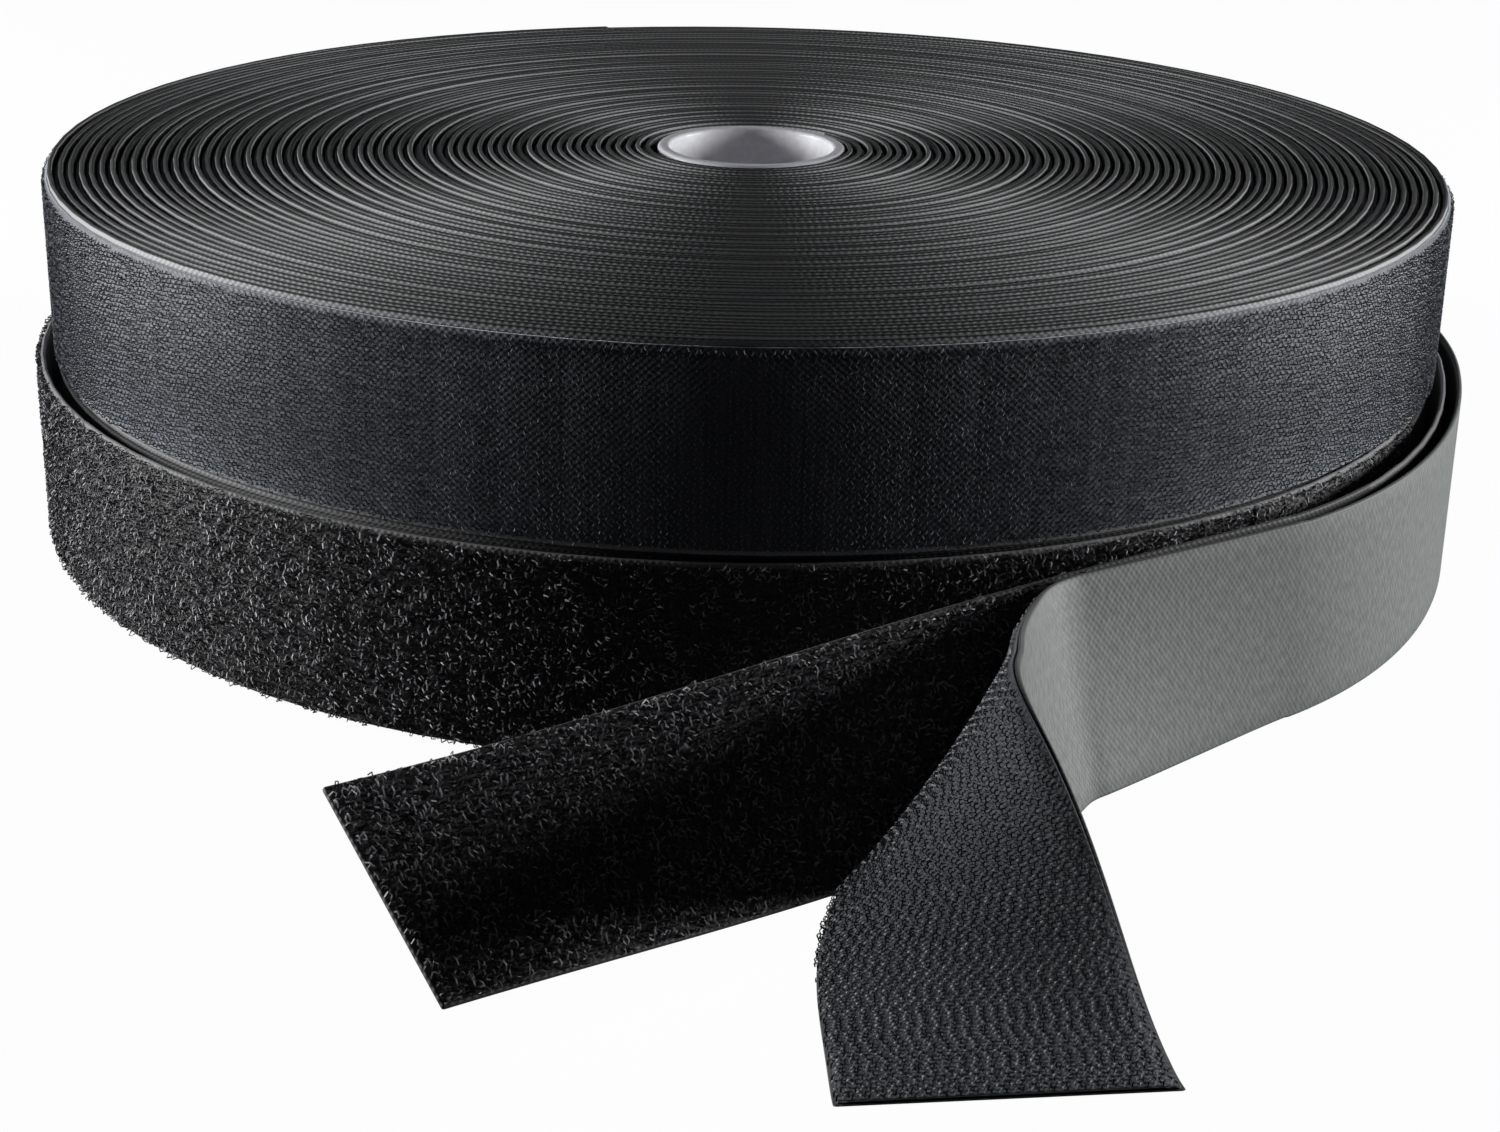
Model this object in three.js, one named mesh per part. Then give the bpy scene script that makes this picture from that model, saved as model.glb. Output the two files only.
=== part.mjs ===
// Two rolls of sew-on hook and loop tape, stacked: the hook roll lies on the loop roll.
// A cut length of hook tape is pressed onto the loop roll's last turn and peeled off at the front.
// Millimetres and degrees, +Z up, floor at Z = 0, seen from the front along +Y.
import * as THREE from "three";

// Tape
const tapeWidth = 30;
const hookThickness = 1.2;
const loopThickness = 1.27;
const layerGap = 0.45;
const matedGap = 0.8;

// Clearance between pieces that touch on the real rolls
const fitGap = 0.3;

// Cores
const coreBore = 27.4;
const coreWall = 2.1;

// Rolls: each radius is that of the tape's outer end, without the loop tape's bulge before it lifts off.
// The hook roll lies a little off the loop roll's centre.
const hookRollRadius = 116;
const hookShiftX = 1.1;
const hookShiftY = -1;
const hookEndAngle = 105;
const loopRollRadius = 119.2;
const looseTurn = 1.5;
const looseFrom = 300;
const looseTo = 420;
const liftBulge = 4.3;
const bulgeAngle = 40;
const liftAngle = -51;
const woundTurns = 11;
const stepsPerTurn = 48;

// Hook strip on the loop roll, from its hidden end behind to where the loop tape lifts off
const wrapAngle = 127;

// Free end of the loop tape: it lifts off along the tangent and twists back as it goes
const loopEndLength = 148;
const loopTwist = 58.4;
const loopTwistPower = 1.33;
const loopClimbs = [{ from: 40, to: loopEndLength, angle: 3.7 }];

// Hook strip past the roll: pressed on the loop tape up to the peel, then a flap that turns its face up
const peelLength = 40;
const flapLength = 136;
const flapBendFrom = 47.1;
const flapBendTo = 75.6;
const flapClimb = 19.6;
const flapTwists = [{ from: 0, to: 127.8, angle: 103 }];
const flapTurns = [
  { from: 0, to: 8, angle: 27.9 },
  { from: flapBendFrom, to: flapBendTo, angle: 24.7 },
];
const flapClimbs = [
  { from: 0, to: flapBendFrom, angle: flapClimb },
  { from: flapBendFrom, to: flapBendTo, angle: -flapClimb },
  { from: flapBendTo, to: flapLength, angle: 10.2 },
];
const stripStep = 1.5;

const coreRadius = coreBore / 2 + coreWall;
const matedSpacing = loopThickness / 2 + matedGap + hookThickness / 2;
const stepAngle = 360 / stepsPerTurn;
const woundAngle = 360 * woundTurns;
const radians = THREE.MathUtils.degToRad;
const up = new THREE.Vector3(0, 0, 1);

const hookRoll = {
  radius: hookRollRadius,
  thickness: hookThickness,
  loose: 0,
  bulge: 0,
  endAngle: hookEndAngle,
};
const loopRoll = {
  radius: loopRollRadius,
  thickness: loopThickness,
  loose: looseTurn,
  bulge: liftBulge,
  endAngle: liftAngle,
};

// Radius of a winding's outer face, with the angle counted back along the tape from its outer end.
// A loose last turn stands off the turn below it and bulges before its end, and draws in behind that.
function windingRadius(roll, back) {
  const drawnIn = roll.loose * THREE.MathUtils.smoothstep(back, looseFrom, looseTo);
  const bulged = roll.bulge * (1 - THREE.MathUtils.smoothstep(back, 0, bulgeAngle));
  return roll.radius + bulged - drawnIn - ((roll.thickness + layerGap) * back) / 360;
}

// Points along a winding between two angles, offset inwards or, if negative, outwards
function windingLine(roll, from, to, offset) {
  const steps = Math.round((to - from) / stepAngle);
  return Array.from({ length: steps + 1 }, (_, i) => {
    const back = from + ((to - from) * i) / steps;
    const angle = radians(roll.endAngle + back);
    const radius = windingRadius(roll, back) - offset;
    return new THREE.Vector2(radius * Math.cos(angle), radius * Math.sin(angle));
  });
}

function standing(shape) {
  return new THREE.ExtrudeGeometry(shape, {
    depth: tapeWidth,
    bevelEnabled: false,
    curveSegments: stepsPerTurn,
  });
}

// A band of tape standing on edge, between two offsets from a winding's outer face
function tapeBand(roll, from, to, outer, inner) {
  const outside = windingLine(roll, from, to, outer);
  const inside = windingLine(roll, from, to, inner).reverse();
  return standing(new THREE.Shape([...outside, ...inside]));
}

// The least gap between one turn and the next, from each point of a turn's outer face
// to the inner face of the turn that lies on it
function leastGap(roll) {
  const outside = windingLine(roll, 0, woundAngle, 0);
  const inside = windingLine(roll, 0, woundAngle, roll.thickness);
  const flat = (p) => new THREE.Vector3(p.x, p.y, 0);
  let least = Infinity;
  for (let i = stepsPerTurn; i < outside.length; i++) {
    const point = flat(outside[i]);
    for (const k of [i - stepsPerTurn, i - stepsPerTurn + 1]) {
      const face = new THREE.Line3(flat(inside[k]), flat(inside[k + 1]));
      const nearest = face.closestPointToPoint(point, true, new THREE.Vector3());
      least = Math.min(least, nearest.distanceTo(point));
    }
  }
  return least;
}

// The turns under the wound ones, as one ring whose outline steps where the wound tape starts
function innerTurns(roll) {
  const offset = roll.thickness + layerGap;
  const start = windingRadius(roll, woundAngle) - offset;
  const stepBack = THREE.MathUtils.radToDeg(fitGap / start);
  const from = woundAngle - 360 + stepBack;
  const ring = new THREE.Shape(windingLine(roll, from, woundAngle + stepBack, offset));
  const seat = new THREE.Path();
  seat.absarc(0, 0, coreRadius + fitGap, 0, 2 * Math.PI);
  ring.holes.push(seat);
  return standing(ring);
}

function coreTube() {
  const ring = new THREE.Shape();
  ring.absarc(0, 0, coreRadius, 0, 2 * Math.PI);
  const bore = new THREE.Path();
  bore.absarc(0, 0, coreBore / 2, 0, 2 * Math.PI);
  ring.holes.push(bore);
  return standing(ring);
}

// The sum of a strip's bends at a distance along it, each eased in between its two ends
function bendAt(bends, along) {
  return bends.reduce(
    (sum, { from, to, angle }) => sum + angle * THREE.MathUtils.smoothstep(along, from, to),
    0,
  );
}

// Directions on a strip: along it, across it to its upper edge, and out of its outer face
function stripFrame(heading, climb, lean) {
  const along = new THREE.Vector3(
    Math.cos(heading) * Math.cos(climb),
    Math.sin(heading) * Math.cos(climb),
    Math.sin(climb),
  );
  const across = up.clone().addScaledVector(along, -along.z).normalize();
  across.applyAxisAngle(along, -lean);
  return { along, across, outward: across.clone().cross(along) };
}

// Stations along a strip of tape that starts at a point and follows its bends
function walkStrip({ start, heading, length, turns, climbs, leanAt }) {
  const steps = Math.ceil(length / stripStep);
  const step = length / steps;
  const frameAt = (s) =>
    stripFrame(heading + radians(bendAt(turns, s)), radians(bendAt(climbs, s)), radians(leanAt(s)));
  const middle = start.clone();
  const stations = [];
  for (let i = 0; i <= steps; i++) {
    stations.push({ middle: middle.clone(), ...frameAt(step * i) });
    middle.addScaledVector(frameAt(step * (i + 0.5)).along, step);
  }
  return stations;
}

// A closed strip of tape through its stations
function stripGeometry(stations, thickness) {
  const corners = stations.flatMap(({ middle, across, outward }) =>
    [[1, 1], [-1, 1], [-1, -1], [1, -1]].map(([edge, face]) =>
      middle
        .clone()
        .addScaledVector(across, (edge * tapeWidth) / 2)
        .addScaledVector(outward, (face * thickness) / 2),
    ),
  );
  const last = 4 * (stations.length - 1);
  const index = [0, 1, 2, 0, 2, 3, last, last + 2, last + 1, last, last + 3, last + 2];
  for (let k = 0; k < last; k += 4) {
    for (let side = 0; side < 4; side++) {
      const next = (side + 1) % 4;
      index.push(k + side, k + 4 + side, k + 4 + next, k + side, k + 4 + next, k + next);
    }
  }
  const geometry = new THREE.BufferGeometry().setFromPoints(corners);
  geometry.setIndex(index);
  geometry.computeVertexNormals();
  return geometry;
}

function piece(name, geometry, color, roughness) {
  const material = new THREE.MeshStandardMaterial({ color, roughness, metalness: 0 });
  const mesh = new THREE.Mesh(geometry, material);
  mesh.name = name;
  return mesh;
}

// Colours of the tape's faces and the cores
const hookColor = 0x3c3e45;
const hookBackColor = 0x7a8680;
const loopColor = 0x141416;
const coreColor = 0xd9d9e2;

// Loop roll, on the floor
const loopWinding = tapeBand(loopRoll, 0, woundAngle, 0, loopThickness);
const loopPile = new THREE.Group();
loopPile.add(
  piece("loop_core", coreTube(), coreColor, 0.5),
  piece("loop_inner_turns", innerTurns(loopRoll), loopColor, 0.9),
  piece("loop_outer_turns", loopWinding, loopColor, 0.9),
);

// Hook roll, on the loop roll
const hookWinding = tapeBand(hookRoll, 0, woundAngle, 0, hookThickness);
const hookPile = new THREE.Group();
hookPile.position.set(hookShiftX, hookShiftY, tapeWidth + fitGap);
hookPile.add(
  piece("hook_core", coreTube(), coreColor, 0.5),
  piece("hook_inner_turns", innerTurns(hookRoll), hookColor, 0.8),
  piece("hook_outer_turns", hookWinding, hookColor, 0.8),
);

// Hook strip pressed round the loop roll's last turn
const wrapBand = tapeBand(loopRoll, 0, wrapAngle, -matedGap - hookThickness, -matedGap);
loopPile.add(piece("hook_strip_wrap", wrapBand, hookBackColor, 0.6));

// Free end of the loop tape, from the end of the wound turns
const liftRadius = windingRadius(loopRoll, 0) - loopThickness / 2;
const liftHeading = radians(liftAngle - 90);
const liftPoint = new THREE.Vector3(liftRadius, 0, (tapeWidth + fitGap) / 2);
liftPoint.applyAxisAngle(up, radians(liftAngle));
liftPoint.addScaledVector(stripFrame(liftHeading, 0, 0).along, fitGap);
const loopLean = (s) =>
  -loopTwist * Math.sin((Math.PI / 2) * (s / loopEndLength) ** loopTwistPower);
const loopStations = walkStrip({
  start: liftPoint,
  heading: liftHeading,
  length: loopEndLength,
  turns: [],
  climbs: loopClimbs,
  leanAt: loopLean,
});

// Hook strip pressed on that free end, as far as the peel
const leadStations = walkStrip({
  start: liftPoint,
  heading: liftHeading,
  length: peelLength,
  turns: [],
  climbs: loopClimbs,
  leanAt: loopLean,
});
for (const { middle, outward } of leadStations) {
  middle.addScaledVector(outward, matedSpacing);
}

// Flap of the hook strip, peeled off the loop tape
const peel = leadStations.at(-1);
const flapStations = walkStrip({
  start: peel.middle.clone().addScaledVector(peel.along, fitGap),
  heading: liftHeading,
  length: flapLength,
  turns: flapTurns,
  climbs: flapClimbs,
  leanAt: (s) => loopLean(peelLength) + bendAt(flapTwists, s),
});

const tapeRolls = new THREE.Group();
tapeRolls.add(
  loopPile,
  hookPile,
  piece("loop_free_end", stripGeometry(loopStations, loopThickness), loopColor, 0.9),
  piece("hook_strip_lead", stripGeometry(leadStations, hookThickness), hookBackColor, 0.6),
  piece("hook_flap", stripGeometry(flapStations, hookThickness), hookColor, 0.8),
);

// The origin is on the floor, under the middle of the whole footprint
const footprint = new THREE.Box3().setFromObject(tapeRolls).getCenter(new THREE.Vector3());
tapeRolls.position.set(-footprint.x, -footprint.y, 0);

console.log("hook_outer_turns least gap", leastGap(hookRoll).toFixed(3), "mm");
console.log("loop_outer_turns least gap", leastGap(loopRoll).toFixed(3), "mm");

const part = new THREE.Group();
part.add(tapeRolls);
export default part;
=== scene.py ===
import math

import bpy
import numpy as np
from mathutils import Matrix, Vector


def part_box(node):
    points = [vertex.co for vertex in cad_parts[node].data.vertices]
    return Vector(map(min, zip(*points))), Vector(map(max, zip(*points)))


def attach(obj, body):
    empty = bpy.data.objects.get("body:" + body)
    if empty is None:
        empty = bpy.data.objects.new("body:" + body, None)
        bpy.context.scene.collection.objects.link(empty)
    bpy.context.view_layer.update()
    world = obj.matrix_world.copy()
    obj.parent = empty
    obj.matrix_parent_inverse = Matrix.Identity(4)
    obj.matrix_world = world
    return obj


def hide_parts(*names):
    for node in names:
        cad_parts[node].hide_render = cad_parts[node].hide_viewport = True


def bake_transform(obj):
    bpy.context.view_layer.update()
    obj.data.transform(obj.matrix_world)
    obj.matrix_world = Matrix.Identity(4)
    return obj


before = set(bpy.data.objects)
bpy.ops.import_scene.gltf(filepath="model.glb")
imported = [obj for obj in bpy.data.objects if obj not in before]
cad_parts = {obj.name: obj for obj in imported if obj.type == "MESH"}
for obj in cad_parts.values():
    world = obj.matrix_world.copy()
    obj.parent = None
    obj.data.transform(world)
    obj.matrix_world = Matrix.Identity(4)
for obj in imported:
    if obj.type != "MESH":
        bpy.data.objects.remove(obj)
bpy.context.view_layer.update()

scene = bpy.context.scene
rng = np.random.default_rng(41)

# both tubes are as tall as the tape is wide, and give the rolls' axes
loopCoreLow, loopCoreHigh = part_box("loop_core")
hookCoreLow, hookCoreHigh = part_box("hook_core")
coreRadius = (loopCoreHigh.x - loopCoreLow.x) / 2
tapeWidth = loopCoreHigh.z - loopCoreLow.z
fitGap = hookCoreLow.z - loopCoreHigh.z
print("frame loaded:", len(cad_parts), "nodes, tape width", round(tapeWidth, 4))


# Tracks: every tape is modelled flat, then laid along one of these
def ease(x, low, high):
    t = np.clip((x - low) / (high - low), 0, 1)
    return t * t * (3 - 2 * t)


hookRoll = {
    "middle": (hookCoreLow + hookCoreHigh) / 2,
    "radius": 0.116,  # outer face, at the tape's outer end
    "thickness": 0.0012,  # hooks included
    "layerGap": 0.00045,
    "endAngle": 105.0,
}
loopRoll = {
    "middle": (loopCoreLow + loopCoreHigh) / 2,
    "radius": 0.1192,
    "thickness": 0.00127,
    "layerGap": 0.00045,
    "loose": 0.0015,  # the last turn stands off the one below
    "looseFrom": 300.0,
    "looseTo": 420.0,
    "bulge": 0.0043,  # more so before it lifts off
    "bulgeAngle": 40.0,
    "endAngle": -51.0,
}
stationsPerTurn = 360


def windingTrack(roll):
    pitch = roll["thickness"] + roll["layerGap"]
    innermost = coreRadius + fitGap + roll["thickness"]
    loose = roll.get("loose", 0)
    turns = (roll["radius"] - loose - innermost) / pitch
    back = np.linspace(360 * turns, 0, round(turns * stationsPerTurn) + 1)
    angle = np.radians(roll["endAngle"] + back)
    radius = roll["radius"] - roll["thickness"] / 2 - pitch * back / 360
    if loose:
        radius -= loose * ease(back, roll["looseFrom"], roll["looseTo"])
        radius += roll["bulge"] * (1 - ease(back, 0, roll["bulgeAngle"]))
    level = np.zeros_like(angle)
    outward = np.stack([np.cos(angle), np.sin(angle), level], 1)
    along = np.stack([np.sin(angle), -np.cos(angle), level], 1)
    middle = outward * radius[:, None] + roll["middle"]
    travelled = np.cumsum(np.linalg.norm(np.diff(middle, axis=0, prepend=middle[:1]), axis=1))
    return {
        "at": travelled - travelled[-1],  # 0 at the outer end, negative towards the core
        "back": back,
        "middle": middle,
        "along": along,
        "across": np.tile((0.0, 0.0, 1.0), (len(angle), 1)),
        "outward": outward,
    }


def turnAt(track, back):
    return np.interp(-back, -track["back"], track["at"])


def bendAt(bends, at):
    return sum(b["angle"] * ease(at, b["from"], b["to"]) for b in bends)


def stripFrame(heading, climb, lean):
    along = np.stack(
        [np.cos(heading) * np.cos(climb), np.sin(heading) * np.cos(climb), np.sin(climb)], 1
    )
    across = np.array((0.0, 0.0, 1.0)) - along * along[:, 2:]
    across /= np.linalg.norm(across, axis=1)[:, None]
    side = np.cross(along, across)
    across = across * np.cos(lean)[:, None] - side * np.sin(lean)[:, None]
    return along, across, np.cross(across, along)


def walkTrack(start, startAt, heading, length, turns, climbs, leanAt, step=0.0005):
    at = np.linspace(0, length, round(length / step) + 1)
    half = (at[1:] + at[:-1]) / 2

    def frameAt(s):
        turned = heading + np.radians(bendAt(turns, s))
        return stripFrame(turned, np.radians(bendAt(climbs, s)), np.radians(leanAt(s)))

    along, across, outward = frameAt(at)
    moves = frameAt(half)[0] * np.diff(at)[:, None]
    middle = np.asarray(start) + np.concatenate([np.zeros((1, 3)), np.cumsum(moves, axis=0)])
    return {
        "at": startAt + at,
        "middle": middle,
        "along": along,
        "across": across,
        "outward": outward,
    }


def joinTracks(first, second):
    keys = ("at", "middle", "along", "across", "outward")
    return {key: np.concatenate([first[key], second[key]]) for key in keys}


loopEnd = {
    "length": 0.148,
    "twist": 58.4,
    "twistPower": 1.33,
    "climbs": [{"from": 0.040, "to": 0.148, "angle": 3.7}],
}
hookStrip = {
    "wrapAngle": 127.0,  # how far it goes round the loop roll
    "matedGap": 0.0008,
    "peelAt": 0.040,  # past the point where the loop tape lifts off
    "flapLength": 0.136,
    "twists": [{"from": 0.0, "to": 0.1278, "angle": 103.0}],
    "turns": [
        {"from": 0.0, "to": 0.008, "angle": 27.9},
        {"from": 0.0471, "to": 0.0756, "angle": 24.7},
    ],
    "climbs": [
        {"from": 0.0, "to": 0.0471, "angle": 19.6},
        {"from": 0.0471, "to": 0.0756, "angle": -19.6},
        {"from": 0.0756, "to": 0.136, "angle": 10.2},
    ],
}


def loopLean(at):
    share = np.clip(at / loopEnd["length"], 0, None)
    return -loopEnd["twist"] * np.sin(np.pi / 2 * share ** loopEnd["twistPower"])


hookWindingTrack = windingTrack(hookRoll)
loopWindingTrack = windingTrack(loopRoll)

liftHeading = math.radians(loopRoll["endAngle"] - 90)
liftPoint = loopWindingTrack["middle"][-1] + loopWindingTrack["along"][-1] * fitGap
liftPoint[2] += fitGap / 2
loopTrack = joinTracks(
    loopWindingTrack,
    walkTrack(liftPoint, fitGap, liftHeading, loopEnd["length"], [], loopEnd["climbs"], loopLean),
)

# the hook strip lies on the loop tape up to the peel, then goes its own way
matedSpacing = loopRoll["thickness"] / 2 + hookStrip["matedGap"] + hookRoll["thickness"] / 2
wrapAt = turnAt(loopWindingTrack, hookStrip["wrapAngle"])
peelAt = fitGap + hookStrip["peelAt"]
mated = (loopTrack["at"] >= wrapAt) & (loopTrack["at"] <= peelAt)
matedTrack = {key: value[mated] for key, value in loopTrack.items()}
matedTrack["middle"] = matedTrack["middle"] + matedTrack["outward"] * matedSpacing
flapAt = peelAt + fitGap
hookStripTrack = joinTracks(
    matedTrack,
    walkTrack(
        matedTrack["middle"][-1] + matedTrack["along"][-1] * fitGap,
        flapAt,
        liftHeading,
        hookStrip["flapLength"],
        hookStrip["turns"],
        hookStrip["climbs"],
        lambda at: loopLean(np.array(hookStrip["peelAt"])) + bendAt(hookStrip["twists"], at),
    ),
)
flapEndAt = hookStripTrack["at"][-1]
loopEndAt = loopTrack["at"][-1]
print("tracks:", round(-hookWindingTrack["at"][0], 2), "m of hook tape and",
      round(-loopWindingTrack["at"][0], 2), "m of loop tape on the rolls")


# Mesh helpers
def readPoints(obj):
    found = np.empty(len(obj.data.vertices) * 3, np.float32)
    obj.data.vertices.foreach_get("co", found)
    return found.reshape(-1, 3).astype(float)


def writePoints(obj, points):
    obj.data.vertices.foreach_set("co", points.astype(np.float32).ravel())
    obj.data.update()


def selectOnly(obj):
    bpy.ops.object.select_all(action="DESELECT")
    obj.select_set(True)
    bpy.context.view_layer.objects.active = obj


def applyModifiers(obj):
    selectOnly(obj)
    for modifier in list(obj.modifiers):
        bpy.ops.object.modifier_apply(modifier=modifier.name)


def onlyMaterial(obj, material):
    obj.data.materials.clear()
    obj.data.materials.append(material)


def softNoise(at, spacing, reach):
    # smooth random offsets along a tape, the same each run
    knots = np.arange(at.min() - spacing, at.max() + 2 * spacing, spacing)
    heights = rng.uniform(-reach, reach, len(knots))
    place = (at - knots[0]) / spacing
    low = np.clip(place.astype(int), 0, len(knots) - 2)
    t = ease(place - low, 0, 1)
    return heights[low] * (1 - t) + heights[low + 1] * t


spareLength = 0.003  # a strip that goes on in another piece is made this much longer, then cut square


def cutSquare(obj, at, keepAfter):
    selectOnly(obj)
    bpy.ops.object.mode_set(mode="EDIT")
    bpy.ops.mesh.select_all(action="SELECT")
    bpy.ops.mesh.bisect(
        plane_co=(at, 0, 0), plane_no=(1, 0, 0), use_fill=True,
        clear_inner=keepAfter, clear_outer=not keepAfter,
    )
    bpy.ops.object.mode_set(mode="OBJECT")


def flatStrip(name, start, end, low, high, edge,
              width=tapeWidth, step=0.001, across=10, rounds=3, seams=""):
    # seams names the ends, start or end, at which the tape goes on in another piece
    first = start - spareLength * ("start" in seams)
    last = end + spareLength * ("end" in seams)
    bpy.ops.object.select_all(action="DESELECT")
    bpy.ops.mesh.primitive_grid_add(
        x_subdivisions=round((last - first) / step), y_subdivisions=across, size=1,
        location=((first + last) / 2, 0, low),
    )
    obj = bpy.context.object
    obj.name = obj.data.name = name
    obj.scale = (last - first, width, 1)
    bpy.ops.object.transform_apply(location=True, rotation=False, scale=True)
    thicken = obj.modifiers.new("thickness", "SOLIDIFY")
    thicken.thickness = high - low
    thicken.offset = 1
    rounded = obj.modifiers.new("roundedEdge", "BEVEL")
    rounded.width = edge
    rounded.segments = rounds
    rounded.limit_method = "ANGLE"
    applyModifiers(obj)
    if "start" in seams:
        cutSquare(obj, start, True)
    if "end" in seams:
        cutSquare(obj, end, False)
    return obj


def mapFlat(obj):
    # the UV map is the flat tape itself: metres along, metres across
    flat = readPoints(obj)[:, :2]
    corners = np.empty(len(obj.data.loops), np.int32)
    obj.data.loops.foreach_get("vertex_index", corners)
    layer = obj.data.uv_layers.get("UVMap") or obj.data.uv_layers.new(name="UVMap")
    layer.data.foreach_set("uv", flat[corners].astype(np.float32).ravel())


def layOnTrack(obj, track):
    flat = readPoints(obj)

    def follow(key):
        columns = [np.interp(flat[:, 0], track["at"], track[key][:, i]) for i in range(3)]
        return np.stack(columns, 1)

    laid = follow("middle") + follow("across") * flat[:, 1:2] + follow("outward") * flat[:, 2:]
    writePoints(obj, laid)
    obj.data.flip_normals()  # along, across and outward are a left-handed set


def smoothShade(obj, angle=50):
    selectOnly(obj)
    bpy.ops.object.shade_smooth_by_angle(angle=math.radians(angle))


def paintFaces(obj, front, back):
    # before the tape is laid: front is the outward face and its edges, back the other face
    onlyMaterial(obj, front)
    obj.data.materials.append(back)
    normals = np.empty(len(obj.data.polygons) * 3, np.float32)
    obj.data.polygons.foreach_get("normal", normals)
    isBack = normals.reshape(-1, 3)[:, 2] < -0.5
    obj.data.polygons.foreach_set("material_index", isBack.astype(np.int32))


# Shared shader effects
def addNode(tree, kind, **values):
    node = tree.nodes.new(kind)
    for key, value in values.items():
        setattr(node, key, value)
    return node


def feed(tree, socket, value):
    # a link from another node, or a fixed value
    if isinstance(value, bpy.types.NodeSocket):
        tree.links.new(value, socket)
    else:
        socket.default_value = value


def addMath(tree, operation, *values):
    node = addNode(tree, "ShaderNodeMath", operation=operation)
    for socket, value in zip(node.inputs, values):
        feed(tree, socket, value)
    return node.outputs[0]


def newGroup(name, inputs, outputs):
    tree = bpy.data.node_groups.new(name, "ShaderNodeTree")
    for socketName, kind in inputs:
        tree.interface.new_socket(socketName, in_out="INPUT", socket_type=kind)
    for socketName, kind in outputs:
        tree.interface.new_socket(socketName, in_out="OUTPUT", socket_type=kind)
    return tree, addNode(tree, "NodeGroupInput"), addNode(tree, "NodeGroupOutput")


def makeWeaveGroup():
    # plain weave on the flat tape: over and under, with uneven yarns
    tree, given, result = newGroup(
        "tapeWeave",
        [("Vector", "NodeSocketVector"), ("Along", "NodeSocketFloat"), ("Across", "NodeSocketFloat"),
         ("Streaks", "NodeSocketVector")],
        [("Height", "NodeSocketFloat"), ("Uneven", "NodeSocketFloat")],
    )
    split = addNode(tree, "ShaderNodeSeparateXYZ")
    tree.links.new(given.outputs["Vector"], split.inputs[0])
    waves = []
    for axis, pitch in (("X", "Along"), ("Y", "Across")):
        turns = addMath(tree, "DIVIDE", split.outputs[axis], given.outputs[pitch])
        waves.append(addMath(tree, "SINE", addMath(tree, "MULTIPLY", turns, math.pi)))
    crossed = addMath(tree, "MULTIPLY", waves[0], waves[1])
    height = addMath(tree, "MULTIPLY_ADD", crossed, 0.5, 0.5)  # from -1 to 1, to 0 to 1
    tree.links.new(height, result.inputs["Height"])
    stretch = addNode(tree, "ShaderNodeVectorMath", operation="MULTIPLY")
    tree.links.new(given.outputs["Vector"], stretch.inputs[0])
    tree.links.new(given.outputs["Streaks"], stretch.inputs[1])
    noise = addNode(tree, "ShaderNodeTexNoise", noise_dimensions="2D")
    noise.inputs["Scale"].default_value = 1
    noise.inputs["Detail"].default_value = 3
    tree.links.new(stretch.outputs[0], noise.inputs["Vector"])
    tree.links.new(noise.outputs[0], result.inputs["Uneven"])
    return tree


bareEdge = {"solid": 0.7, "rim": (0.0003, 0.0001)}  # share of the margin, and where the rim fades in


def makeSelvedgeGroup():
    # Edge is 1 on the bare woven margin of the tape and 0 on its field
    # Rim is 1 on the turned edge itself
    tree, given, result = newGroup(
        "bareEdge",
        [("Vector", "NodeSocketVector"), ("Margin", "NodeSocketFloat")],
        [("Edge", "NodeSocketFloat"), ("Rim", "NodeSocketFloat")],
    )
    split = addNode(tree, "ShaderNodeSeparateXYZ")
    tree.links.new(given.outputs["Vector"], split.inputs[0])
    fromMiddle = addMath(tree, "ABSOLUTE", split.outputs["Y"])
    fromEdge = addMath(tree, "SUBTRACT", tapeWidth / 2, fromMiddle)
    margin = given.outputs["Margin"]
    inner = addMath(tree, "MULTIPLY", margin, bareEdge["solid"])
    for name, start, end in (("Edge", margin, inner), ("Rim", *bareEdge["rim"])):
        ramp = addNode(tree, "ShaderNodeMapRange", interpolation_type="SMOOTHSTEP")
        feed(tree, ramp.inputs["Value"], fromEdge)
        feed(tree, ramp.inputs["From Min"], start)
        feed(tree, ramp.inputs["From Max"], end)
        feed(tree, result.inputs[name], ramp.outputs[0])
    return tree


weaveGroup = makeWeaveGroup()
selvedgeGroup = makeSelvedgeGroup()


def newMaterial(name, roughness, **sockets):
    material = bpy.data.materials.new(name)
    material.use_nodes = True
    shader = material.node_tree.nodes["Principled BSDF"]
    shader.inputs["Roughness"].default_value = roughness
    for socket, value in sockets.items():
        shader.inputs[socket.replace("_", " ")].default_value = value
    return material, material.node_tree, shader


def colourRamp(tree, value, stops):
    node = addNode(tree, "ShaderNodeValToRGB")
    while len(node.color_ramp.elements) < len(stops):
        node.color_ramp.elements.new(0.5)
    for element, (position, colour) in zip(node.color_ramp.elements, stops):
        element.position = position
        element.color = (*colour, 1)
    tree.links.new(value, node.inputs[0])
    return node.outputs[0]


def mixColour(tree, share, first, second):
    node = addNode(tree, "ShaderNodeMix", data_type="RGBA")
    feed(tree, node.inputs[0], share)
    for socket, colour in ((node.inputs[6], first), (node.inputs[7], second)):  # its colour sockets
        feed(tree, socket, (*colour, 1) if isinstance(colour, tuple) else colour)
    return node.outputs[2]


def shaded(colour, share):
    return tuple(c * share for c in colour)


def fibreMaterial(name, spec):
    return newMaterial(
        name, spec["roughness"],
        Sheen_Weight=spec["sheen"],
        Sheen_Roughness=spec["sheenRoughness"],
        Sheen_Tint=spec.get("sheenTint", (1, 1, 1, 1)),
    )


selvedgeValley = 0.6  # painted shade between the yarns of the bare edge
valleyLift = 0.5  # only yarns that dip below the middle of the weave get painted shade, by half at most
yarnDepth = 0.0001


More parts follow.
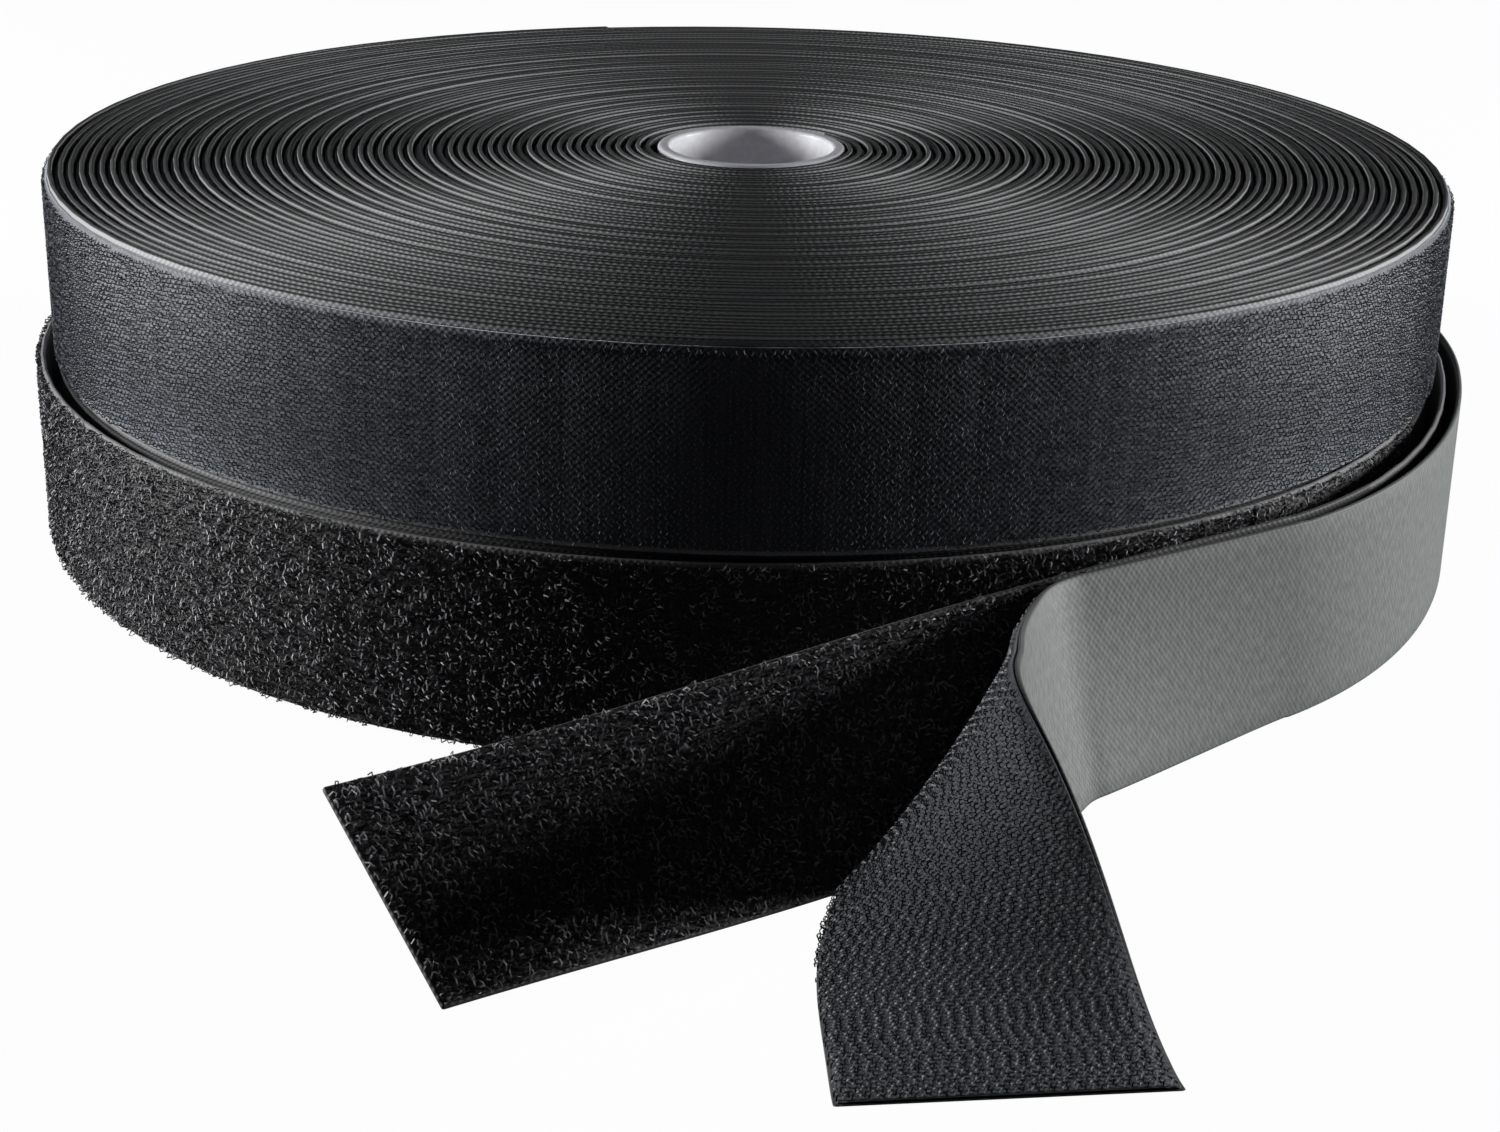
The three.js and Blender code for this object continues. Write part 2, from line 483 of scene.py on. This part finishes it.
def tapeCloth(name, spec):
    # woven face of a tape, read from the flat UV map
    material, tree, shader = fibreMaterial(name, spec)
    flat = addNode(tree, "ShaderNodeUVMap", uv_map="UVMap").outputs[0]
    weave = addNode(tree, "ShaderNodeGroup", node_tree=weaveGroup)
    weave.inputs["Along"].default_value = spec["weft"]
    weave.inputs["Across"].default_value = spec["warp"]
    weave.inputs["Streaks"].default_value = (*spec["streaks"], 1)
    bare = addNode(tree, "ShaderNodeGroup", node_tree=selvedgeGroup)
    bare.inputs["Margin"].default_value = spec["margin"]
    for node in (weave, bare):
        tree.links.new(flat, node.inputs["Vector"])
    over = addMath(tree, "ADD", weave.outputs["Height"], valleyLift)
    field = colourRamp(tree, weave.outputs["Uneven"], spec["field"])
    # painted shade in the weave's valleys, where the yarns dip
    woven = mixColour(tree, over, shaded(spec["field"][0][1], spec["valley"]), field)
    selvedge = mixColour(tree, over, shaded(spec["selvedge"], selvedgeValley), spec["selvedge"])
    bordered = mixColour(tree, bare.outputs["Edge"], woven, selvedge)
    rimmed = mixColour(tree, bare.outputs["Rim"], bordered, spec["rim"])
    tree.links.new(rimmed, shader.inputs["Base Color"])
    bump = addNode(tree, "ShaderNodeBump")
    bump.inputs["Strength"].default_value = spec["bump"]
    bump.inputs["Distance"].default_value = yarnDepth
    tree.links.new(weave.outputs["Height"], bump.inputs["Height"])
    tree.links.new(bump.outputs[0], shader.inputs["Normal"])
    return material


def yarnMaterial(name, spec):
    # hooks and pile loops: each copy has its own random tone, with painted shade darker towards its
    # foot
    material, tree, shader = fibreMaterial(name, spec)
    shade = addNode(tree, "ShaderNodeAttribute", attribute_name="yarnToneAndFootShade")
    tone = colourRamp(tree, shade.outputs["Fac"], spec["shades"])
    tree.links.new(tone, shader.inputs["Base Color"])
    return material


fineStreaks = (2600, 240)  # uneven yarns to a metre, along and across
hookWeave = {"weft": 0.00055, "warp": 0.0005, "margin": 0.001}  # pitches of the yarns, bare edge
groundCloth = hookWeave | {
    "roughness": 0.56, "sheen": 0.1, "sheenRoughness": 0.4,
    "bump": 0.5, "valley": 0.4, "streaks": fineStreaks,
    "field": [(0.3, (0.008, 0.008, 0.01)), (0.7, (0.016, 0.016, 0.019))],
    "rim": (0.035, 0.036, 0.038),
}
hookGround = tapeCloth("hookGround", groundCloth | {"selvedge": (0.4, 0.41, 0.42)})
# the flap's ground: the same tape, its bare edge painted darker than the roll's, painted shade
stripGroundShadedEdge = tapeCloth("stripGroundShadedEdge", groundCloth | {"selvedge": (0.09, 0.092, 0.096)})
blueSheen = (0.85, 0.92, 1.0, 1.0)  # dark cloth that pales where the light grazes it
bandCloth = hookWeave | {
    "roughness": 0.6, "sheenRoughness": 0.45, "sheenTint": blueSheen, "bump": 0.7, "valley": 0.8,
}
hookBand = tapeCloth("hookBand", bandCloth | {
    "streaks": (550, 40), "sheen": 1.0,
    "field": [(0.33, (0.075, 0.079, 0.092)), (0.67, (0.122, 0.128, 0.148))],
    "selvedge": (0.19, 0.2, 0.23), "rim": (0.1, 0.105, 0.12),
})
# the flap's band: the roll's hook band painted darker, painted shade
stripBandShaded = tapeCloth("stripBandShaded", bandCloth | {
    "streaks": fineStreaks, "sheen": 0.2,
    "field": [(0.33, (0.03, 0.031, 0.036)), (0.67, (0.06, 0.062, 0.07))],
    "selvedge": (0.06, 0.062, 0.07), "rim": (0.05, 0.052, 0.06),
})
hookBack = tapeCloth("hookBack", {
    "roughness": 0.62, "sheen": 0.1, "sheenRoughness": 0.5,
    "weft": 0.00045, "warp": 0.0006, "margin": 0.0006,
    "bump": 0.3, "valley": 0.86, "streaks": (1500, 600),
    "field": [(0.34, (0.165, 0.181, 0.174)), (0.66, (0.25, 0.267, 0.262))],
    "selvedge": (0.17, 0.185, 0.18), "rim": (0.11, 0.12, 0.117),
})
pileCloth = {
    "roughness": 0.6, "sheen": 0.15, "sheenRoughness": 0.5,
    "weft": 0.0005, "warp": 0.0005, "margin": 0.0008,
    "bump": 0.5, "valley": 0.5, "streaks": fineStreaks,
    "field": [(0.3, (0.035, 0.035, 0.039)), (0.7, (0.07, 0.07, 0.077))],
}
loopGround = tapeCloth("loopGround", pileCloth | {
    "selvedge": (0.17, 0.171, 0.178), "rim": (0.21, 0.211, 0.218),
})
# the free end: the roll's loop tape with its bare edges painted darker, painted shade
loopEndGroundShaded = tapeCloth("loopEndGroundShaded", pileCloth | {
    "selvedge": (0.045, 0.045, 0.05), "rim": (0.045, 0.045, 0.05),
})
hookYarn = yarnMaterial("hookYarn", {
    "roughness": 0.5, "sheen": 1.0, "sheenRoughness": 0.4, "sheenTint": blueSheen,
    "shades": [(0.0, (0.03, 0.031, 0.036)), (0.5, (0.27, 0.28, 0.32)), (1.0, (0.6, 0.618, 0.69))],
})
loopYarn = yarnMaterial("loopYarn", {
    "roughness": 0.5, "sheen": 0.6, "sheenRoughness": 0.35,
    "shades": [(0.0, (0.02, 0.02, 0.022)), (0.3, (0.15, 0.15, 0.163)), (1.0, (0.6, 0.6, 0.65))],
})
print("tape materials made")


# Repeated yarns: one hook or loop is bent from wire, arrayed flat, then made uneven
def bentWire(name, path, radius):
    bpy.ops.object.select_all(action="DESELECT")
    bpy.ops.mesh.primitive_circle_add(vertices=3, radius=radius)
    section = bpy.context.object
    bpy.ops.object.convert(target="CURVE")
    curve = bpy.data.curves.new(name, "CURVE")
    curve.dimensions = "3D"
    spline = curve.splines.new("POLY")
    spline.points.add(len(path) - 1)
    for point, place in zip(spline.points, path):
        point.co = (*place, 1)
    curve.bevel_mode = "OBJECT"
    curve.bevel_object = section
    curve.use_fill_caps = True
    wire = bpy.data.objects.new(name, curve)
    scene.collection.objects.link(wire)
    selectOnly(wire)
    bpy.ops.object.convert(target="MESH")
    wire = bpy.context.object
    bpy.data.objects.remove(section)
    return wire


def evenPitch(length, pitch):
    # a whole number of columns, so that neighbouring fields meet without a gap
    columns = round(length / pitch)
    return columns, length / columns


def arrayField(obj, columns, rows, pitchAlong, pitchAcross):
    for count, offset in ((columns, (pitchAlong, 0, 0)), (rows, (0, pitchAcross, 0))):
        copies = obj.modifiers.new("copies", "ARRAY")
        copies.count = count
        copies.use_relative_offset = False
        copies.use_constant_offset = True
        copies.constant_offset_displace = offset
    applyModifiers(obj)


# painted shade: a yarn's colour falls to this share at its foot
paintedFootShade = 0.25
yarnSmooth = 70  # degrees


def shadeCopies(obj, shades, heights):
    # each copy has its own random tone, and painted shade that darkens it towards its foot
    layer = obj.data.attributes.new("yarnToneAndFootShade", "FLOAT", "POINT")
    values = shades[:, None] * (paintedFootShade + (1 - paintedFootShade) * heights)
    layer.data.foreach_set("value", values.astype(np.float32).ravel())


def layYarns(obj, track):
    layOnTrack(obj, track)
    smoothShade(obj, yarnSmooth)


hookWire = {
    "radius": 0.00009,
    "rise": 0.00045,  # above the woven band that the hooks stand in
    "pitchAlong": 0.0009,
    "pitchAcross": 0.00066,
    "lean": 0.2,  # lean, size and place differ by these from hook to hook
    "sizes": 0.07,
    "shift": 0.00007,
    "darkest": 0.65,  # hook of a rib, to its palest
    "ribShade": 0.7,  # ribs differ by the spread, slowly along the tape
    "ribSpread": 0.3,
    "ribsAlike": 3,
    "path": [(0, 0, -0.1), (0.03, 0.04, 0.3), (0.15, 0.28, 0.45), (0.24, 0.5, 0.26)],  # millimetres
}


def hookField(name, start, end, ground, side, margin, palest):
    # side is 1 where the hooks stand on the tape's outward face, -1 on the other
    columns, pitchAlong = evenPitch(end - start, hookWire["pitchAlong"])
    pitchAcross = hookWire["pitchAcross"]
    rows = int((tapeWidth - 2 * margin) / (2 * pitchAcross))
    path = [tuple(c / 1000 for c in place) for place in hookWire["path"]]
    hook = bentWire(name, path, hookWire["radius"])
    perHook = len(hook.data.vertices)
    bpy.ops.object.duplicate()
    twin = bpy.context.object
    turned = readPoints(twin) * (-1, 1, 1) + (0, pitchAcross, 0)
    writePoints(twin, turned)
    twin.data.flip_normals()
    hook.select_set(True)
    bpy.context.view_layer.objects.active = hook
    bpy.ops.object.join()
    obj = bpy.context.object
    arrayField(obj, columns, rows, pitchAlong, 2 * pitchAcross)
    points = readPoints(obj).reshape(-1, perHook, 3)
    count = len(points)
    foot = points[:, :3].mean(1, keepdims=True)
    body = points - foot
    height = np.clip(body[..., 2:] / hookWire["rise"], 0, 1)
    body *= rng.normal(1, hookWire["sizes"], (count, 1, 1))
    body[..., :2] += height * rng.normal(0, hookWire["lean"], (count, 1, 2)) * hookWire["rise"]
    foot[..., :2] += rng.normal(0, hookWire["shift"], (count, 1, 2))
    rib = np.arange(count) // 2 % columns  # each rib across the tape starts at its own place
    phase = 2 * pitchAcross * rng.random(columns)
    foot[..., 1] = np.mod(foot[..., 1] + phase[rib][:, None], 2 * pitchAcross * rows)
    points = (foot + body).reshape(-1, 3)
    points[:, 0] += start + pitchAlong / 2
    points[:, 1] -= pitchAcross * rows
    points[:, 2] = ground + side * points[:, 2]
    writePoints(obj, points)
    ribNoise = softNoise(np.arange(columns), hookWire["ribsAlike"], hookWire["ribSpread"])
    shades = palest * (hookWire["ribShade"] + ribNoise)[rib]
    shadeCopies(obj, shades * rng.uniform(hookWire["darkest"], 1, count), height[..., 0])
    onlyMaterial(obj, hookYarn)
    if side < 0:
        obj.data.flip_normals()
    return obj


loopWire = {
    "radius": 0.0001,
    "size": 0.00085,
    "pitchAlong": 0.00075,
    "pitchAcross": 0.00075,
    "margin": 0.0001,
    "clump": 2,  # loops to a side of a tuft
    "shortest": 0.7,  # a loop's size, to which its tuft and chance add
    "tuftGrowth": 0.35,
    "growth": 0.3,
    "curl": 0.35,
    "scatter": 0.45,  # of the pitch
    "path": [(-0.35, 0.0, -0.1), (-0.3, 0.12, 0.65), (0.25, 0.1, 0.8), (0.4, -0.2, 0.15)],  # sizes
}


def pileField(name, start, end, ground, contrast):
    # contrast is higher where fewer loops are pale
    columns, pitchAlong = evenPitch(end - start, loopWire["pitchAlong"])
    pitchAcross = loopWire["pitchAcross"]
    rows = int((tapeWidth - 2 * loopWire["margin"]) / pitchAcross)
    path = [tuple(c * loopWire["size"] for c in place) for place in loopWire["path"]]
    obj = bentWire(name, path, loopWire["radius"])
    perLoop = len(obj.data.vertices)
    arrayField(obj, columns, rows, pitchAlong, pitchAcross)
    points = readPoints(obj).reshape(-1, perLoop, 3)
    count = len(points)
    row, column = np.divmod(np.arange(count), columns)
    foot = np.stack([column * pitchAlong, row * pitchAcross, np.zeros(count)], 1)
    body = points - foot[:, None]
    clump, scatter = loopWire["clump"], loopWire["scatter"]
    tufts = rng.random((rows // clump + 1, columns // clump + 1))
    tuft = tufts[row // clump, column // clump]
    turn = rng.uniform(0, 2 * np.pi, (count, 1))
    size = loopWire["shortest"] + loopWire["tuftGrowth"] * tuft
    size = (size + rng.uniform(0, loopWire["growth"], count))[:, None]
    x, y, z = body[..., 0] * size, body[..., 1] * size, body[..., 2] * size
    tip = rng.normal(0, loopWire["curl"], (count, 1)) * np.clip(z, 0, None)
    turnedX = x * np.cos(turn) - y * np.sin(turn)
    turnedY = x * np.sin(turn) + y * np.cos(turn) + tip
    turned = np.stack([turnedX, turnedY, z], 2)
    foot[:, :2] += rng.uniform(-scatter, scatter, (count, 2)) * (pitchAlong, pitchAcross)
    points = (turned + foot[:, None]).reshape(-1, 3)
    points[:, 0] += start + pitchAlong / 2
    points[:, 1] -= (rows - 1) * pitchAcross / 2
    points[:, 2] += ground
    limit = tapeWidth / 2
    points[:, 1] = np.clip(points[:, 1], -limit, limit)
    writePoints(obj, points)
    shade = ((tuft + rng.random(count)) / 2) ** contrast
    shadeCopies(obj, shade, np.clip(z / loopWire["size"], 0, 1))
    onlyMaterial(obj, loopYarn)
    return obj


# Rolls: the woven ground of each winding, and the rows of yarn between its turns
hookTape = {
    "ground": 0.00075,  # thickness, with the rows on top
    "rows": 0.00045,
    "margin": 0.001,
    "edge": 0.00035,  # rounding
    "fields": 5,  # pieces that the last turn's hooks are made in
}
loopTape = {
    "ground": 0.00075,
    "rows": 0.0005,
    "margin": 0.0008,
    "edge": 0.00035,
    "fields": 4,
    "pileFrom": 385.0,  # degrees back from the lift-off
    "contrast": 1.8,
}
stepsPerTurn = 80
rowEdge = 0.0001
rowsSunk = 0.0001  # the rows reach this deep into the ground
endInset = 0.0002  # rows and yarns stop short of a cut end
edgeWaves = {
    "spacing": 0.085,
    "top": 0.00016,
    "bottom": 0.00008,
    "swaySpacing": 0.06,
    "sway": 0.00007,  # in and out, between the turns
}


def spreadOnTurns(obj, track, start, end):
    # the flat grid is even in metres, and becomes even in degrees, so that inner turns stay round
    flat = readPoints(obj)
    order = np.arange(len(track["at"]))
    first, last = np.interp((start, end), track["at"], order)
    share = (flat[:, 0] - start) / (end - start)
    flat[:, 0] = np.interp(first + share * (last - first), order, track["at"])
    writePoints(obj, flat)


def wavyEdges(obj):
    flat = readPoints(obj)
    top, bottom = edgeWaves["top"], edgeWaves["bottom"]
    high = softNoise(flat[:, 0], edgeWaves["spacing"], top)
    low = softNoise(flat[:, 0], edgeWaves["spacing"], bottom) + bottom
    flat[:, 1] += np.where(flat[:, 1] > 0, high - top / 2, low)
    flat[:, 2] += softNoise(flat[:, 0], edgeWaves["swaySpacing"], edgeWaves["sway"])
    writePoints(obj, flat)


def windTape(name, track, roll, tape, end, cloth, seams=""):
    start = track["at"][0]
    low = -roll["thickness"] / 2
    turns = len(track["at"]) / stationsPerTurn
    step = (end - start) / (turns * stepsPerTurn)
    obj = flatStrip(name, start, end, low, low + tape["ground"], tape["edge"],
                    step=step, across=2, rounds=2, seams=seams)
    spreadOnTurns(obj, track, start, end)
    mapFlat(obj)
    onlyMaterial(obj, cloth)
    wavyEdges(obj)
    layOnTrack(obj, track)
    smoothShade(obj)
    return obj


def windRows(name, track, roll, tape, end, cloth):
    start = track["at"][0]
    low = -roll["thickness"] / 2 + tape["ground"]
    turns = np.interp(end, track["at"], np.arange(len(track["at"]))) / stationsPerTurn
    step = (end - start) / (turns * stepsPerTurn)
    width = tapeWidth - 2 * tape["margin"]
    obj = flatStrip(name, start, end, low - rowsSunk, low + tape["rows"], rowEdge,
                    width, step, across=1, rounds=1)
    spreadOnTurns(obj, track, start, end)
    mapFlat(obj)
    onlyMaterial(obj, cloth)
    layOnTrack(obj, track)
    smoothShade(obj)
    return obj


def countFaces(pieces):
    return sum(len(piece.data.polygons) for piece in pieces)


hookWinding = windTape("hook_tape_winding", hookWindingTrack, hookRoll, hookTape, 0, hookGround)
hookRows = windRows("hook_tape_rows", hookWindingTrack, hookRoll, hookTape, -endInset, hookBand)
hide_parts("hook_inner_turns", "hook_outer_turns")
for piece in (hookWinding, hookRows):
    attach(piece, "hook_winding")

hookSurface = hookTape["ground"] + hookTape["rows"] - hookRoll["thickness"] / 2
fieldEnds = np.linspace(turnAt(hookWindingTrack, 360), 0, hookTape["fields"] + 1)
for i, (start, end) in enumerate(zip(fieldEnds, fieldEnds[1:]), 1):
    field = hookField(f"hook_roll_hooks_{i}", start, end, hookSurface, 1, hookTape["margin"], 1)
    layYarns(field, hookWindingTrack)
    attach(field, "hook_winding")

loopSeam = -0.02  # the free end's piece starts here, and takes in the curve where it lifts off
loopWinding = windTape("loop_tape_winding", loopWindingTrack, loopRoll, loopTape, loopSeam,
                       loopGround, seams="end")
lastTurnAt = turnAt(loopWindingTrack, 360)
loopRows = windRows("loop_tape_rows", loopWindingTrack, loopRoll, loopTape, lastTurnAt, loopGround)
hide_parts("loop_inner_turns", "loop_outer_turns")
for piece in (loopWinding, loopRows):
    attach(piece, "loop_roll")

loopSurface = loopTape["ground"] - loopRoll["thickness"] / 2
pileStart = turnAt(loopWindingTrack, loopTape["pileFrom"])
fieldEnds = np.linspace(pileStart, wrapAt, loopTape["fields"] + 1)
for i, (start, end) in enumerate(zip(fieldEnds, fieldEnds[1:]), 1):
    field = pileField(f"loop_roll_pile_{i}", start, end, loopSurface, loopTape["contrast"])
    layYarns(field, loopTrack)
    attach(field, "loop_roll")


endTape = {"pileBefore": 0.004, "contrast": 1.2}  # pile starts this far before the peel


def bendAtLift(piece):
    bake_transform(piece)


def bendAtPeel(piece):
    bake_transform(piece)


freeEnd = flatStrip("loop_tape_end", loopSeam, loopEndAt, -loopRoll["thickness"] / 2, loopSurface,
                    loopTape["edge"], seams="start")
mapFlat(freeEnd)
onlyMaterial(freeEnd, loopEndGroundShaded)
layOnTrack(freeEnd, loopTrack)
smoothShade(freeEnd)
bendAtLift(freeEnd)
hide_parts("loop_free_end")

endPile = pileField("loop_end_pile", peelAt - endTape["pileBefore"], loopEndAt - endInset,
                    loopSurface, endTape["contrast"])
layYarns(endPile, loopTrack)
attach(endPile, "loop_end")
print("loop tape's free end:", countFaces([freeEnd, endPile]), "faces")


# Hook strip: pressed on the loop tape, then peeled off as a flap. Its back is its outward face
stripLow = hookRoll["thickness"] / 2 - hookTape["ground"]
stripHigh = hookRoll["thickness"] / 2
bandLow = stripLow - hookTape["rows"]
flapTape = {
    "seamBefore": 0.006,  # its piece starts this far before the peel
    "margin": 0.0004,  # bare edge, narrower than the roll's
    "palest": 0.24,  # hook, to the roll's palest: the flap's hooks painted darker, painted shade
    "thinLength": 0.006,  # the heat of the cut thins its end towards the hooks
    "thinShare": 0.3,
}
flapSeam = peelAt - flapTape["seamBefore"]
flapRowsEnd = flapEndAt - endInset


def thinOut(obj):
    points = readPoints(obj)
    near = np.clip((points[:, 0] - flapEndAt) / flapTape["thinLength"] + 1, 0, 1)
    kept = 1 - (1 - flapTape["thinShare"]) * near**2
    points[:, 2] = bandLow + (points[:, 2] - bandLow) * kept
    writePoints(obj, points)


def stripPiece(name, start, end, seams, *nodes):
    obj = flatStrip(name, start, end, stripLow, stripHigh, hookTape["edge"], seams=seams)
    mapFlat(obj)
    paintFaces(obj, hookBack, stripGroundShadedEdge)
    thinOut(obj)
    layOnTrack(obj, hookStripTrack)
    smoothShade(obj)
    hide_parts(*nodes)
    return obj


pressed = stripPiece("hook_strip_pressed", wrapAt, flapSeam, "end",
                     "hook_strip_wrap", "hook_strip_lead")
bendAtLift(pressed)
flap = stripPiece("hook_strip_flap", flapSeam, flapEndAt, "start", "hook_flap")
bendAtPeel(flap)
flapRows = flatStrip("hook_strip_rows", flapSeam, flapRowsEnd, bandLow, stripLow + rowsSunk, rowEdge,
                     tapeWidth - 2 * flapTape["margin"], rounds=1, seams="start")
mapFlat(flapRows)
thinOut(flapRows)
onlyMaterial(flapRows, stripBandShaded)
flapHooks = hookField("hook_strip_hooks", flapSeam, flapRowsEnd, bandLow, -1,
                      flapTape["margin"], flapTape["palest"])
for piece in (flapRows, flapHooks):
    layYarns(piece, hookStripTrack)
    bendAtPeel(piece)
print("hook strip:", countFaces([pressed, flap, flapRows, flapHooks]), "faces")


# Cores: pale tubes with eased ends
coreTube = {
    "bore": 0.0137,  # radius
    "ease": 0.0006,
    "sides": 128,
    "roughness": 0.42,
    "coat": 0.1,
    "grain": 900,  # to a metre
    "tones": [(0.35, (0.84, 0.84, 0.9)), (0.65, (0.92, 0.92, 0.96))],
    "bump": 0.1,
    "bumpDepth": 0.0002,
}


def makeCoreMaterial():
    roughness, coat = coreTube["roughness"], coreTube["coat"]
    material, tree, shader = newMaterial("coreTube", roughness, Coat_Weight=coat)
    place = addNode(tree, "ShaderNodeTexCoord").outputs["Object"]
    scuffs = addNode(tree, "ShaderNodeTexNoise")
    scuffs.inputs["Scale"].default_value = coreTube["grain"]
    scuffs.inputs["Detail"].default_value = 4
    tree.links.new(place, scuffs.inputs["Vector"])
    tone = colourRamp(tree, scuffs.outputs[0], coreTube["tones"])
    tree.links.new(tone, shader.inputs["Base Color"])
    bump = addNode(tree, "ShaderNodeBump")
    bump.inputs["Strength"].default_value = coreTube["bump"]
    bump.inputs["Distance"].default_value = coreTube["bumpDepth"]
    tree.links.new(scuffs.outputs[0], bump.inputs["Height"])
    tree.links.new(bump.outputs[0], shader.inputs["Normal"])
    return material


coreMaterial = makeCoreMaterial()


def makeCore(name, node, body, middle):
    low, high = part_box(node)
    bpy.ops.object.select_all(action="DESELECT")
    bpy.ops.mesh.primitive_circle_add(
        vertices=coreTube["sides"], radius=coreRadius, fill_type="NOTHING",
        location=(middle.x, middle.y, low.z),
    )
    obj = bpy.context.object
    obj.name = obj.data.name = name
    bpy.ops.object.mode_set(mode="EDIT")
    bpy.ops.mesh.select_all(action="SELECT")
    bpy.ops.mesh.extrude_region_move(TRANSFORM_OT_translate={"value": (0, 0, high.z - low.z)})
    bpy.ops.mesh.select_all(action="SELECT")
    bpy.ops.mesh.normals_make_consistent(inside=False)
    bpy.ops.object.mode_set(mode="OBJECT")
    bpy.ops.object.transform_apply(location=True, rotation=False, scale=False)
    wall = obj.modifiers.new("wall", "SOLIDIFY")
    wall.thickness = coreRadius - coreTube["bore"]
    wall.offset = -1
    eased = obj.modifiers.new("easedEnds", "BEVEL")
    eased.width = coreTube["ease"]
    eased.segments = 3
    eased.limit_method = "ANGLE"
    eased.angle_limit = math.radians(50)
    applyModifiers(obj)
    smoothShade(obj, 40)
    onlyMaterial(obj, coreMaterial)
    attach(obj, body)
    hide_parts(node)


makeCore("hook_core_tube", "hook_core", "hook_core", hookRoll["middle"])
makeCore("loop_core_tube", "loop_core", "loop_roll", loopRoll["middle"])
print("cores made")


# Floor, light and the photo's view
stage = {
    "floor": 60.0,
    "drop": 0.0004,  # keeps the floor just under the lowest edges
    "white": 0.06,  # the part of its colour that takes light and shadow
    "roughness": 0.9,
    "glow": 0.96,  # of floor and backdrop, as the camera sees them
    "room": 0.006,  # what lights the part from all round
}


def makeStage():
    bpy.ops.object.select_all(action="DESELECT")
    bpy.ops.mesh.primitive_plane_add(size=stage["floor"], location=(0, 0, -stage["drop"]))
    floor = bpy.context.object
    floor.name = "floor"
    white = stage["white"]
    material, tree, shader = newMaterial(
        "paleFloor", stage["roughness"],
        Base_Color=(white, white, white, 1),
        Specular_IOR_Level=0,
        Emission_Color=(1, 1, 1, 1),
    )
    rays = addNode(tree, "ShaderNodeLightPath")
    glow = addMath(tree, "MULTIPLY", rays.outputs["Is Camera Ray"], stage["glow"])
    tree.links.new(glow, shader.inputs["Emission Strength"])
    floor.data.materials.append(material)


def makeWorld():
    world = bpy.data.worlds.new("softRoom")
    scene.world = world
    world.use_nodes = True
    tree = world.node_tree
    background = tree.nodes["Background"]
    background.inputs["Color"].default_value = (1, 1, 1, 1)
    rays = addNode(tree, "ShaderNodeLightPath").outputs
    seen = addMath(tree, "MAXIMUM", rays["Is Camera Ray"], rays["Is Transmission Ray"])
    backdrop = addMath(tree, "MULTIPLY", seen, stage["glow"])
    tree.links.new(addMath(tree, "MAXIMUM", backdrop, stage["room"]), background.inputs["Strength"])


sideAim = (0, 0.05, 0.03)
lamps = {
    "leftSoft": {"place": (-0.88, 0.138, 0.18), "aim": sideAim, "size": 0.36, "power": 10},
    "rightSoft": {"place": (0.88, 0.124, 0.18), "aim": sideAim, "size": 0.36, "power": 8.4},
    "frontSoft": {"place": (0.2, -0.85, 0.75), "aim": (0, -0.05, 0.02), "size": 0.6, "power": 0.07},
}


def makeLamps():
    for name, lamp in lamps.items():
        data = bpy.data.lights.new(name, "AREA")
        data.shape = "DISK"
        data.size = lamp["size"]
        data.energy = lamp["power"]
        obj = bpy.data.objects.new(name, data)
        obj.location = lamp["place"]
        aimed = Vector(lamp["aim"]) - obj.location
        obj.rotation_euler = aimed.to_track_quat("-Z", "Y").to_euler()
        scene.collection.objects.link(obj)


photoView = {
    "imageWidth": 1500,  # pixels
    "focalPixels": 2660,
    "sensor": 36.0,
    "distance": 0.462,  # from the top of the loop roll's core
    "elevation": 16.05,
    "pitch": -5.35,  # turns of the camera in its place, in degrees
    "yaw": 0.28,
    "roll": 1.06,
}


def turnPair(first, second, degrees):
    c, s = math.cos(math.radians(degrees)), math.sin(math.radians(degrees))
    return first * c + second * s, second * c - first * s


def makeCamera():
    rise = math.radians(photoView["elevation"])
    target = Vector((loopRoll["middle"].x, loopRoll["middle"].y, loopCoreHigh.z))
    back = Vector((0, -math.cos(rise), math.sin(rise)))
    look, right = -back, Vector((1, 0, 0))
    upward = right.cross(look)
    look, upward = turnPair(look, upward, photoView["pitch"])
    look, right = turnPair(look, right, photoView["yaw"])
    right, upward = turnPair(right, upward, photoView["roll"])
    data = bpy.data.cameras.new("photoCamera")
    data.sensor_width = photoView["sensor"]
    data.lens = photoView["focalPixels"] / photoView["imageWidth"] * photoView["sensor"]
    data.clip_start = 0.01
    camera = bpy.data.objects.new("photoCamera", data)
    turned = Matrix((right, upward, -look)).transposed().to_4x4()
    camera.matrix_world = Matrix.Translation(target + back * photoView["distance"]) @ turned
    scene.collection.objects.link(camera)
    scene.camera = camera


makeStage()
makeWorld()
makeLamps()
makeCamera()
scene.view_settings.view_transform = "Standard"
print("stage, lamps and camera set")
